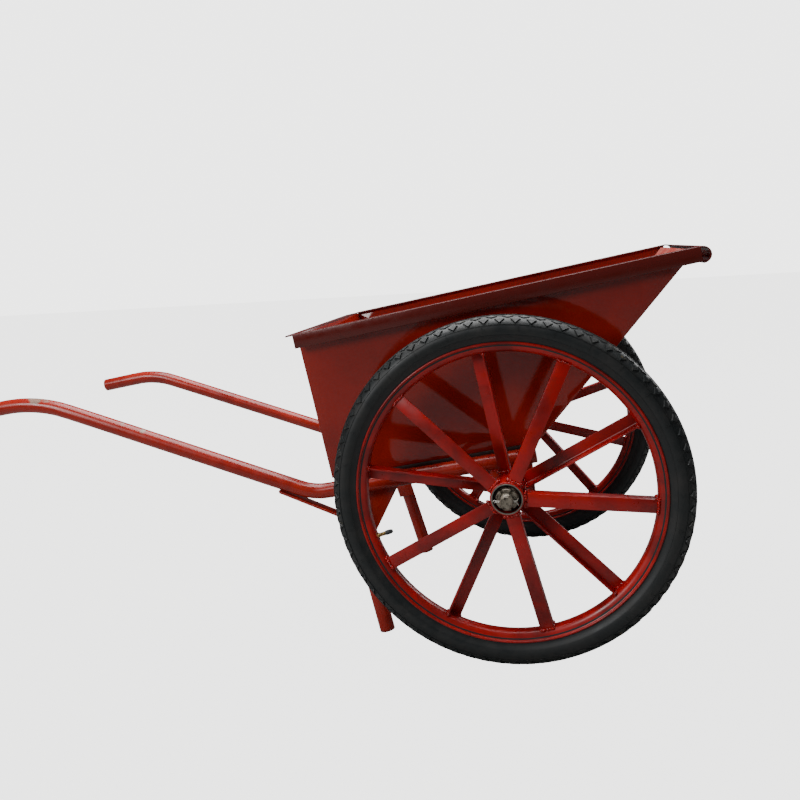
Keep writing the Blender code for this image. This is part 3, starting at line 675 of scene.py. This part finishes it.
def build_hub(side):
    """Turned hub barrel, its bared steel end ring, and a bearing seal in the bore, near-black as
    rubber and grease and as painted shade of the recess.
    """
    radius, height = HUB_EDGE
    barrel = [(HUB_BORE, -HUB_HALF), (HUB_BORE, HUB_HALF)]
    barrel += arc((radius, height), HUB_EDGE_RADIUS, 90, 0, 4)
    barrel += arc((radius, -height), HUB_EDGE_RADIUS, 0, -90, 4)
    bm = spun(barrel, HUB_STEPS, wheel_matrix(side))
    body = f"wheel_{side}"
    piece(f"hub_barrel_{side}", bm, body, [finish("brushed_enamel_wheel", wheel_enamel)],
          [f"hub_{side}"])
    steel = finish("bared_hub_steel", bright_metal("#9A968C", 0.30, 0.55))
    piece(f"hub_end_ring_{side}", spun(END_RING, HUB_STEPS, wheel_matrix(side)), body, [steel])
    # The seal's near-black is rubber and grease, and painted shade of the hub's recess.
    piece(f"bearing_seal_{side}", spun(SEAL, SMALL_STEPS, wheel_matrix(side)), body,
          [finish("nitrile_seal_and_recess_shade", seal_rubber_and_recess_shade)], [f"bearing_outer_{side}"])


WASHER = ((0.0132, 0.0285), (0.0205, 0.0285), (0.0212, 0.0292), (0.0212, 0.0302),
          (0.0205, 0.0308), (0.0132, 0.0308))
NUT_SIDES = 6                # also the count of its teeth and slots
NUT_FOOT_RADIUS = 0.0206     # of the six-sided part, over its corners
NUT_TOP_RADIUS = 0.0200
NUT_DEPTH = 0.0080
NUT_MIDDLE = 0.0345
TOOTH = ((0.0130, 0.0380), (0.0196, 0.0380), (0.0203, 0.0386), (0.0203, 0.0430),
         (0.0195, 0.0440), (0.0136, 0.0440), (0.0130, 0.0434))
TOOTH_ANGLE = math.radians(42)
PIN_HEIGHT = 0.0543
PIN_EYE = (-0.0218, 0.0)     # middle of the split pin's eye, across the axle, and its radius
PIN_EYE_RADIUS = 0.0022
PIN_LEG = ((-0.0180, 0.0010), (0.0178, 0.0010), (0.0196, 0.0030), (0.0212, 0.0064))
PIN_WIRE = 0.0011


def build_nut(side):
    """Castle nut on its washer."""
    bm = spun(WASHER, SMALL_STEPS)
    bmesh.ops.create_cone(bm, cap_ends=True, segments=NUT_SIDES, radius1=NUT_FOOT_RADIUS,
                          radius2=NUT_TOP_RADIUS, depth=NUT_DEPTH,
                          matrix=Matrix.Translation((0.0, 0.0, NUT_MIDDLE)))
    tooth = bmesh.new()
    ring = [tooth.verts.new((radius, 0.0, height)) for radius, height in TOOTH]
    bmesh.ops.spin(tooth, geom=[tooth.faces.new(ring)], cent=(0.0, 0.0, 0.0),
                   axis=(0.0, 0.0, 1.0), angle=TOOTH_ANGLE, steps=6)
    half_slot = math.pi / NUT_SIDES - TOOTH_ANGLE / 2
    bmesh.ops.rotate(tooth, verts=tooth.verts, cent=(0.0, 0.0, 0.0),
                     matrix=Matrix.Rotation(half_slot, 3, "Z"))
    bmesh.ops.recalc_face_normals(tooth, faces=tooth.faces)
    copies_round(tooth, list(tooth.verts), NUT_SIDES)
    merge(bm, tooth)
    bmesh.ops.recalc_face_normals(bm, faces=bm.faces)
    bm.transform(wheel_matrix(side))
    piece(f"castle_nut_turned_{side}", bm, "cart",
          [finish("greasy_turned_steel", greasy_steel)], [f"castle_nut_{side}"])


def build_pin(side):
    """Split pin through the axle, its eye on one side and its legs bent apart on the other."""
    place = wheel_matrix(side)
    strands = []
    for lean in (-1, 1):
        path = arc(PIN_EYE, PIN_EYE_RADIUS, 180, 90 * lean, 6)
        path += [(x, y * lean) for x, y in PIN_LEG]
        strands.append([place @ Vector((x, y, PIN_HEIGHT)) for x, y in path])
    wire = rod(f"split_pin_wire_{side}", strands, PIN_WIRE)
    wire.data.materials.append(finish("zinc_split_pin", bright_metal("#C9C6BD", 0.22, 0.4)))
    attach(wire, "cart")
    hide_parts(f"split_pin_{side}")


AXLE_STEPS = 32
AXLE_RADIUS = 0.0160         # between the wheels
SPIGOT_RADIUS = 0.0125       # inside the bearings, and over the thread's crests
THREAD_ROOT = 0.0117
THREAD_PITCH = 0.0020
THREAD_TURNS = 10
THREAD_LENGTH = 0.0240
SHOULDER_IN = 0.0273         # from a wheel's middle plane in to the axle's shoulder
AXLE_OUT = 0.0660            # and out to the axle's end


def build_axle():
    """Turned axle with a screw thread on both ends."""
    shoulder = HALF_TRACK - SHOULDER_IN
    end = HALF_TRACK + AXLE_OUT
    half = [(0.0, end), (0.0108, end), (0.0122, end - 0.0012)]
    for turn in range(1, THREAD_TURNS + 1):
        crest = end - THREAD_PITCH * turn
        half += [(SPIGOT_RADIUS, crest), (THREAD_ROOT, crest - THREAD_PITCH / 2)]
    half += [(SPIGOT_RADIUS, end - THREAD_LENGTH), (SPIGOT_RADIUS, shoulder),
             (AXLE_RADIUS, shoulder)]
    profile = half + [(radius, -height) for radius, height in reversed(half)]
    place = Matrix.Translation((AXLE.x, 0.0, AXLE.z)) @ Matrix.Rotation(math.radians(-90), 4, "X")
    piece("axle_turned", spun(profile, AXLE_STEPS, place, closed=False), "cart",
          [finish("greasy_turned_steel", greasy_steel)], ["axle"])


def rod(name, paths, radius):
    """Round wire along one or more paths."""
    curve = bpy.data.curves.new(name, "CURVE")
    curve.dimensions = "3D"
    curve.bevel_depth = radius
    curve.bevel_resolution = 3
    curve.use_fill_caps = True
    for path in paths:
        spline = curve.splines.new("POLY")
        spline.points.add(len(path) - 1)
        for point, co in zip(spline.points, path):
            point.co = (*co, 1.0)
    made = bpy.data.objects.new(name, curve)
    bpy.context.scene.collection.objects.link(made)
    return made


def spoke_ends(node):
    """The two L-shaped end outlines of a CAD spoke, the one at the hub first."""
    bm = cad_copy(node)
    ends = [face for face in bm.faces if len(face.verts) == 6]
    outlines = [[vert.co.copy() for vert in face.verts] for face in ends]
    bm.free()
    axis = Vector((AXLE.x, 0.0, AXLE.z))

    def reach(outline):
        middle = sum(outline, Vector()) / len(outline)
        return (Vector((middle.x, 0.0, middle.z)) - axis).length

    return sorted(outlines, key=reach)


SPOKE_END = 0.255            # the rim's end of a spoke lies farther from the axle than this
SPOKE_BITE = 0.0032          # how deep that end is sunk into the rim's bowl
HUB_WELD = 1.4               # bead sizes beside the usual one
RIM_WELD = 1.2


def build_spokes(context, side):
    """Ten angle-iron spokes with rounded roots, and the rough welds at both their ends."""
    sizes = context.scene.cart_sizes
    red = finish("brushed_enamel_wheel", wheel_enamel)
    welds = bmesh.new()
    for index in range(1, SPOKES + 1):
        node = f"spoke_{index:02d}_{side}"
        spoke = softened(node, sizes.edge_radius, sizes.root_radius)
        for vert in spoke.verts:
            out = Vector((vert.co.x - AXLE.x, 0.0, vert.co.z - AXLE.z))
            if out.length > SPOKE_END:
                vert.co += out.normalized() * SPOKE_BITE
        piece(f"angle_{node}", spoke, f"wheel_{side}", [red], [node])
        hub_end, rim_end = spoke_ends(node)
        out = sum(rim_end, Vector()) / len(rim_end) - Vector((AXLE.x, 0.0, AXLE.z))
        bite = Vector((out.x, 0.0, out.z)).normalized() * SPOKE_BITE
        rim_end = [corner + bite for corner in rim_end]
        weld_bead(welds, hub_end, sizes.weld_radius * HUB_WELD, index, closed=True)
        weld_bead(welds, rim_end, sizes.weld_radius * RIM_WELD, index + SPOKES, closed=True)
    piece(f"spoke_welds_{side}", welds, f"wheel_{side}",
          [finish("painted_weld_metal", weld_enamel)], smooth=80.0)


VALVE_STEPS = 20
VALVE_FOOT = 0.2652          # where the stem leaves the rim, from the axle
STEM_FOOT = ((0.0, -0.001), (0.0050, -0.001), (0.0050, 0.0022), (0.0038, 0.0028))
STEM_THREAD_FROM = 0.0034
STEM_THREAD_PITCH = 0.0015
STEM_THREAD_TURNS = 9
STEM_TOP = ((0.0030, 0.0172), (0.0, 0.0172))
CAP = ((0.0, 0.0160), (0.0044, 0.0160), (0.0046, 0.0168), (0.0045, 0.0262),
       (0.0030, 0.0300), (0.0, 0.0305))


def build_valve(side):
    """Brass valve stem with its thread and locknut, and a black dust cap."""
    low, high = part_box(f"valve_{side}")
    middle = (low + high) / 2
    out = Vector((middle.x - AXLE.x, 0.0, middle.z - AXLE.z)).normalized()
    foot = Vector((AXLE.x, SIDES[side] * HALF_TRACK, AXLE.z)) + out * VALVE_FOOT
    y_axis = Vector((0.0, 1.0, 0.0))
    z_axis = -out
    place = Matrix((y_axis.cross(z_axis), y_axis, z_axis)).transposed().to_4x4()
    place = Matrix.Translation(foot) @ place
    stem = list(STEM_FOOT)
    for turn in range(STEM_THREAD_TURNS):
        crest = STEM_THREAD_FROM + STEM_THREAD_PITCH * turn
        stem += [(0.0039, crest), (0.0035, crest + 0.0007)]
    stem += STEM_TOP
    brass = finish("tarnished_brass", bright_metal("#B9A06A", 0.28, 0.5))
    piece(f"valve_stem_{side}", spun(stem, VALVE_STEPS, place, closed=False), f"wheel_{side}", [brass],
          [f"valve_{side}"])
    piece(f"valve_cap_{side}", spun(CAP, VALVE_STEPS, place, closed=False), f"wheel_{side}",
          [finish("moulded_black_cap", black_plastic)])


# --- Tray ---------------------------------------------------------------------------------------
SHEET_CUT = 0.045            # about how far apart a sheet is cut, so that it can wave
RIPPLE_LENGTH = 0.17
RIM_ANGLE_EDGE = 0.0010      # rounding of the rim angle's and the nose's edges
NOSE_EDGE = 0.0005

# Which way each sheet's inner face looks, in the cart's own frame.
INWARD = {
    "tray_floor": (0.0, 0.0, 1.0),
    "tray_rear_wall": (1.0, 0.0, 0.0),
    "tray_front_slope": (-0.66, 0.0, 0.75),
    "tray_side_right": (0.0, 1.0, 0.0),
    "tray_side_left": (0.0, -1.0, 0.0),
}
DUSTY_SHEETS = ("tray_floor", "tray_front_slope")


def rippled_sheet(context, node, inward):
    """A tray sheet with rounded edges and a slight wave, its inner face in the second finish."""
    sizes = context.scene.cart_sizes
    bm = softened(node, sizes.edge_radius)
    low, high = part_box(node)
    for axis in range(3):
        cut = Vector((0.0, 0.0, 0.0))
        cut[axis] = 1.0
        steps = int((high[axis] - low[axis]) / SHEET_CUT)
        for step in range(1, steps):
            at = low + (high - low) * (step / steps)
            bmesh.ops.bisect_plane(bm, geom=bm.verts[:] + bm.edges[:] + bm.faces[:],
                                   plane_co=at, plane_no=cut)
    for face in bm.faces:
        face.material_index = 1 if face.normal.dot(inward) > 0.5 else 0
    for vert in bm.verts:
        wave = noise.noise(vert.co / RIPPLE_LENGTH)
        vert.co += inward * (sizes.sheet_ripple * wave)
    return bm


def build_tray(context):
    """Tray sheets, the angle iron round its mouth, and its rolled nose."""
    sizes = context.scene.cart_sizes
    gloss = finish("gloss_enamel_tray", tray_enamel)
    inside = finish("dusty_enamel_inside", dusty_enamel)
    # The rim angle and the nose take a colour darkened as painted shade.
    band = finish("rim_enamel_painted_shade", rim_band_enamel)
    for node, way in INWARD.items():
        inner = inside if node in DUSTY_SHEETS else gloss
        inward = (CART.to_3x3() @ Vector(way)).normalized()
        piece(f"{node}_sheet", rippled_sheet(context, node, inward), "cart", [gloss, inner],
              [node], smooth=30.0)
    for node in ("rim_angle_right", "rim_angle_left", "rim_angle_rear"):
        iron = softened(node, RIM_ANGLE_EDGE, sizes.root_radius)
        piece(f"{node}_iron", iron, "cart", [band], [node])
    piece("front_lip_rolled", softened("front_lip", NOSE_EDGE), "cart", [band], ["front_lip"])


# --- Frame --------------------------------------------------------------------------------------
TUBE_SWELL = 0.0004          # what smoothing takes off a tube's faceted sides, given back first
STRIP_DROP = 0.0018          # how far the bed strips are let down into the rails


def round_tube(node, edge_radius, red):
    """A CAD tube with its end edges rounded and its sides subdivided smooth."""
    bm = softened(node, edge_radius)
    for vert in bm.verts:
        vert.co += vert.normal * TUBE_SWELL
    made = piece(f"{node}_round", bm, "cart", [red], [node], smooth=60.0)
    smooth = made.modifiers.new("round", "SUBSURF")
    smooth.levels = 1
    smooth.render_levels = 1


def build_frame(context):
    """Handle tubes, legs and the plates that carry the axle."""
    sizes = context.scene.cart_sizes
    red = finish("brushed_enamel_frame", frame_enamel)
    # The bed strips' finish is black all over as painted shade of the gap under the tray.
    grime_and_gap_shade = finish("strip_enamel_painted_shade", strip_painted_shade)
    for side in SIDES:
        round_tube(f"handle_tube_{side}", sizes.edge_radius, red)
        round_tube(f"leg_{side}", sizes.edge_radius, red)
        for name in ("leg_gusset", "leg_strut", "axle_bracket"):
            node = f"{name}_{side}"
            piece(f"{node}_plate", softened(node, sizes.edge_radius), "cart", [red], [node])
        node = f"bed_strip_{side}"
        strip = softened(node, sizes.edge_radius)
        middle = sum((vert.co.dot(FLOOR_NORMAL) for vert in strip.verts)) / len(strip.verts)
        for vert in strip.verts:
            if vert.co.dot(FLOOR_NORMAL) < middle:
                vert.co -= FLOOR_NORMAL * STRIP_DROP
        # The black strip stands as painted shade in the gap between rail and tray floor.
        piece(f"{node}_flat", strip, "cart", [grime_and_gap_shade], [node])
    # The bearings' inner races take the seal's near-black: grease, and painted shade of the hub's
    # recess.
    bare = {"bearing_sleeve": finish("greasy_turned_steel", greasy_steel),
            "bearing_inner": finish("nitrile_seal_and_recess_shade", seal_rubber_and_recess_shade)}
    for side in SIDES:
        for name, material in bare.items():
            data = frame["nodes"][f"{name}_{side}"].data
            data.materials.clear()
            data.materials.append(material)


# Places of the welds, in the cart's own frame.
RAIL_Y = 0.243               # middle line of a rail
RAIL_Z = 0.0352
RAIL_RADIUS = 0.0160
STITCHES = 7                 # short beads between each rail and its bed strip
STITCH_FROM = -0.330
STITCH_PITCH = 0.058
STITCH_Y = 0.2520
STITCH_Z = RAIL_Z + 0.0130
BRACKET_WELD = (-0.036, 0.044)       # from and to, along the rail
BRACKET_HALF = 0.0045        # half the thickness of an axle bracket, with its bead
WRINKLES = ((-0.436, 0.0600), (-0.424, 0.0556), (-0.411, 0.0524), (-0.399, 0.0505))
WRINKLE_Y = (-0.249, -0.239)


def cart_bead(bm, start, end, radius, seed):
    """A straight weld bead between two places in the cart's own frame."""
    weld_bead(bm, [CART @ Vector(start), CART @ Vector(end)], radius, seed)


def build_welds(context):
    """Weld beads on the rails, and wrinkles where the right rail was bent up."""
    radius = context.scene.cart_sizes.weld_radius
    bm = bmesh.new()
    for sign in SIDES.values():
        y = sign * STITCH_Y
        for stitch in range(STITCHES):
            x = STITCH_FROM + STITCH_PITCH * stitch
            length = 0.022 + 0.004 * (stitch % 3)
            cart_bead(bm, (x, y, STITCH_Z), (x + length, y, STITCH_Z), radius * 0.8,
                      100 + stitch + 10 * sign)
        start, end = BRACKET_WELD
        z = RAIL_Z - RAIL_RADIUS
        for y in (sign * RAIL_Y - BRACKET_HALF, sign * RAIL_Y + BRACKET_HALF):
            cart_bead(bm, (start, y, z), (end, y, z), radius, 120 + sign)
    outer, inner = WRINKLE_Y
    for x, z in WRINKLES:
        cart_bead(bm, (x, outer, z), (x, inner, z), radius * 0.55, 140)
    piece("frame_welds", bm, "cart", [finish("painted_weld_metal", weld_enamel)],
          smooth=80.0)


# --- Stage --------------------------------------------------------------------------------------
FLOOR_HALF = 14.0
# Soft lamps: name, place, what each points at, width, and power in watts.
LAMPS = (
    ("sky_panel", (0.0, 0.2, 3.4), (0.0, 0.0, 0.3), 3.0, 225.0),
    ("key_panel", (-2.4, -3.2, 2.3), (0.0, 0.0, 0.4), 1.4, 84.0),
    ("back_panel", (2.6, 2.8, 2.0), (0.0, 0.0, 0.4), 1.6, 48.0))
AIR_WHITE = "#FAFAF9"
AIR_BLUE = "#C9CDD2"


def build_stage():
    """Pale floor, soft studio light, and the camera."""
    bm = bmesh.new()
    bmesh.ops.create_grid(bm, x_segments=4, y_segments=4, size=FLOOR_HALF)
    mesh = bpy.data.meshes.new("studio_floor")
    bm.to_mesh(mesh)
    bm.free()
    mesh.materials.append(finish("studio_paper", studio_paper))
    floor = bpy.data.objects.new("studio_floor", mesh)
    bpy.context.scene.collection.objects.link(floor)
    for name, place, target, width, power in LAMPS:
        light = bpy.data.lights.new(name, "AREA")
        light.size = width
        light.energy = power
        lamp = bpy.data.objects.new(name, light)
        lamp.location = place
        aim = Vector(target) - Vector(place)
        lamp.rotation_euler = aim.to_track_quat("-Z", "Y").to_euler()
        bpy.context.scene.collection.objects.link(lamp)
    world = bpy.data.worlds.new("studio_air")
    world.use_nodes = True
    tree = world.node_tree
    tree.nodes.clear()
    backdrop = add(tree, "Background", {"Color": rgba(linear(AIR_WHITE)),
                                        "Strength": BACKDROP * AIR_SHARE})
    fill = add(tree, "Background", {"Color": rgba(linear(AIR_BLUE)), "Strength": AIR_FILL})
    seen = add(tree, "LightPath").node.outputs["Is Camera Ray"]
    both = add(tree, "MixShader", {0: seen, 1: fill, 2: backdrop})
    add(tree, "OutputWorld", {"Surface": both})
    bpy.context.scene.world = world
    build_camera()


CAMERA_PLACE = (AXLE.x + 0.1105, -1.9309, 0.7906)
CAMERA_TURNS = (("Z", 12.098), ("X", -7.944), ("Y", 3.776))      # degrees, one after the other
CAMERA_LENS = 38.91          # in millimetres, on a sensor 36 wide
CAMERA_SHIFT = (0.0236, -0.0333)


def build_camera():
    """A camera standing beside the right wheel, a little above the tray."""
    camera = bpy.data.cameras.new("side_camera")
    camera.sensor_width = 36.0
    camera.lens = CAMERA_LENS
    camera.shift_x, camera.shift_y = CAMERA_SHIFT
    made = bpy.data.objects.new("side_camera", camera)
    bpy.context.scene.collection.objects.link(made)
    look = Matrix.Identity(3)
    for axis, angle in CAMERA_TURNS:
        look = look @ Matrix.Rotation(math.radians(angle), 3, axis)
    level = Matrix(((1.0, 0.0, 0.0), (0.0, 0.0, -1.0), (0.0, 1.0, 0.0)))
    made.matrix_world = Matrix.Translation(CAMERA_PLACE) @ (look @ level).to_4x4()
    bpy.context.scene.camera = made


# --- Operators ----------------------------------------------------------------------------------
class CartOperator:
    """What all the cart's operators share."""

    bl_options = {"REGISTER", "UNDO"}


class HANDCART_OT_stage(CartOperator, bpy.types.Operator):
    """Lay the pale floor and set the studio light and the camera"""

    bl_idname = "handcart.stage"
    bl_label = "Stage"

    def execute(self, context):
        build_stage()
        return {"FINISHED"}


class HANDCART_OT_tyres(CartOperator, bpy.types.Operator):
    """Make both treaded tyres"""

    bl_idname = "handcart.tyres"
    bl_label = "Tyres"

    def execute(self, context):
        for side in SIDES:
            build_tyre(context, side)
        return {"FINISHED"}


class HANDCART_OT_rims(CartOperator, bpy.types.Operator):
    """Roll both rims and fit their valves"""

    bl_idname = "handcart.rims"
    bl_label = "Rims and valves"

    def execute(self, context):
        for side in SIDES:
            build_rim(side)
            build_valve(side)
        return {"FINISHED"}


class HANDCART_OT_hubs(CartOperator, bpy.types.Operator):
    """Turn both hubs, with their nuts and split pins"""

    bl_idname = "handcart.hubs"
    bl_label = "Hubs and nuts"

    def execute(self, context):
        build_axle()
        for side in SIDES:
            build_hub(side)
            build_nut(side)
            build_pin(side)
        return {"FINISHED"}


class HANDCART_OT_spokes(CartOperator, bpy.types.Operator):
    """Cut and weld the angle-iron spokes"""

    bl_idname = "handcart.spokes"
    bl_label = "Spokes"

    def execute(self, context):
        for side in SIDES:
            build_spokes(context, side)
        return {"FINISHED"}


class HANDCART_OT_tray(CartOperator, bpy.types.Operator):
    """Make the tray, its rim angle and its rolled nose"""

    bl_idname = "handcart.tray"
    bl_label = "Tray"

    def execute(self, context):
        build_tray(context)
        return {"FINISHED"}


class HANDCART_OT_frame(CartOperator, bpy.types.Operator):
    """Make the handle tubes, legs, plates and their welds"""

    bl_idname = "handcart.frame"
    bl_label = "Frame"

    def execute(self, context):
        build_frame(context)
        build_welds(context)
        return {"FINISHED"}


class HANDCART_PT_panel(bpy.types.Panel):
    """Lists the cart's makers in the sidebar"""

    bl_idname = "HANDCART_PT_panel"
    bl_label = "Hand cart"
    bl_space_type = "VIEW_3D"
    bl_region_type = "UI"
    bl_category = "Hand cart"

    def draw(self, context):
        for maker in MAKERS:
            self.layout.operator(maker.bl_idname)
        for group in (context.scene.cart_sizes, context.scene.cart_colours):
            for name in group.__annotations__:
                self.layout.prop(group, name)


MAKERS = (HANDCART_OT_stage, HANDCART_OT_tyres, HANDCART_OT_rims, HANDCART_OT_hubs,
          HANDCART_OT_spokes, HANDCART_OT_tray, HANDCART_OT_frame)
CLASSES = (CartSizes, CartColours) + MAKERS + (HANDCART_PT_panel,)


def register():
    for made in CLASSES:
        bpy.utils.register_class(made)
    bpy.types.Scene.cart_sizes = PointerProperty(type=CartSizes)
    bpy.types.Scene.cart_colours = PointerProperty(type=CartColours)


def unregister():
    del bpy.types.Scene.cart_colours
    del bpy.types.Scene.cart_sizes
    for made in reversed(CLASSES):
        bpy.utils.unregister_class(made)


def main():
    """Register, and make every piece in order."""
    register()
    bpy.ops.handcart.stage()
    bpy.ops.handcart.tyres()
    bpy.ops.handcart.rims()
    bpy.ops.handcart.hubs()
    bpy.ops.handcart.spokes()
    bpy.ops.handcart.tray()
    bpy.ops.handcart.frame()


if __name__ == "__main__":
    main()
